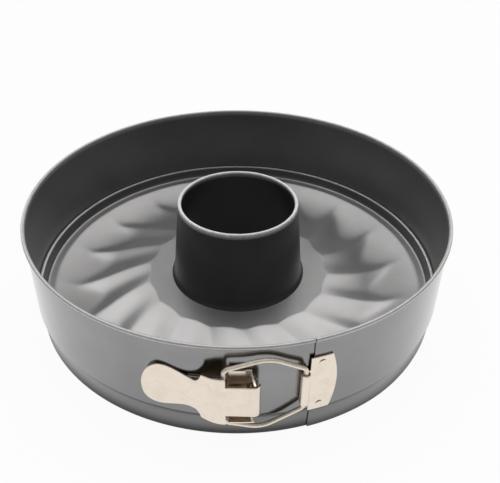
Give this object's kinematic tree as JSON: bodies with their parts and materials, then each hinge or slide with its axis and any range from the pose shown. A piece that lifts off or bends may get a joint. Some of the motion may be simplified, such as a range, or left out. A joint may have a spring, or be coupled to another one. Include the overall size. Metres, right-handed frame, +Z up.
{
  "type": "springform tube pan",
  "caption": "Round springform cake pan: a dark coated steel ring closed by a lever clasp, over a lift-out fluted base with a tapered centre tube.",
  "frame": {"origin": "centre of the bounding box at the table, with the clasp at the front", "axes": "+Z up along the tube, +Y from the clasp to the back, +X to the right seen from the clasp"},
  "size_m": [0.2654, 0.2722, 0.067],
  "materials": {
    "ring_coating": "satin dark grey non-stick coating",
    "base_coating": "satin dark grey non-stick coating",
    "clasp_nickel": "warm nickel plating, slightly worn"
  },
  "bodies": {
    "ring": {"ring_band": "ring_coating", "keeper_plate": "clasp_nickel", "keeper_rivet_upper": "clasp_nickel", "keeper_rivet_lower": "clasp_nickel", "lever_bracket": "clasp_nickel", "bracket_rivet_upper": "clasp_nickel", "bracket_rivet_lower": "clasp_nickel", "lever_pin": "clasp_nickel"},
    "lever": {"clasp_lever": "clasp_nickel"},
    "bail": {"bail_wire": "clasp_nickel"},
    "base": {"base_plate": "base_coating", "centre_tube": "base_coating"}
  },
  "joints": [
    {"name": "lever_swing", "type": "hinge", "parent": "ring", "child": "lever", "pos_m": [0.008, -0.13275, 0.036], "axis": [0, 0, 1], "range_deg": [0, 130]},
    {"name": "bail_swing", "type": "hinge", "parent": "ring", "child": "bail", "pos_m": [0.0338, -0.12682, 0.036], "axis": [0, 0, 1], "range_deg": [0, 26]},
    {"name": "base_lift", "type": "slide", "parent": "ring", "child": "base", "axis": [0, 0, 1], "range_m": [0, 0.07]}
  ],
  "couplings": [
    {"joint": "bail_swing", "follows": "lever_swing", "ratio": 0.2}
  ]
}
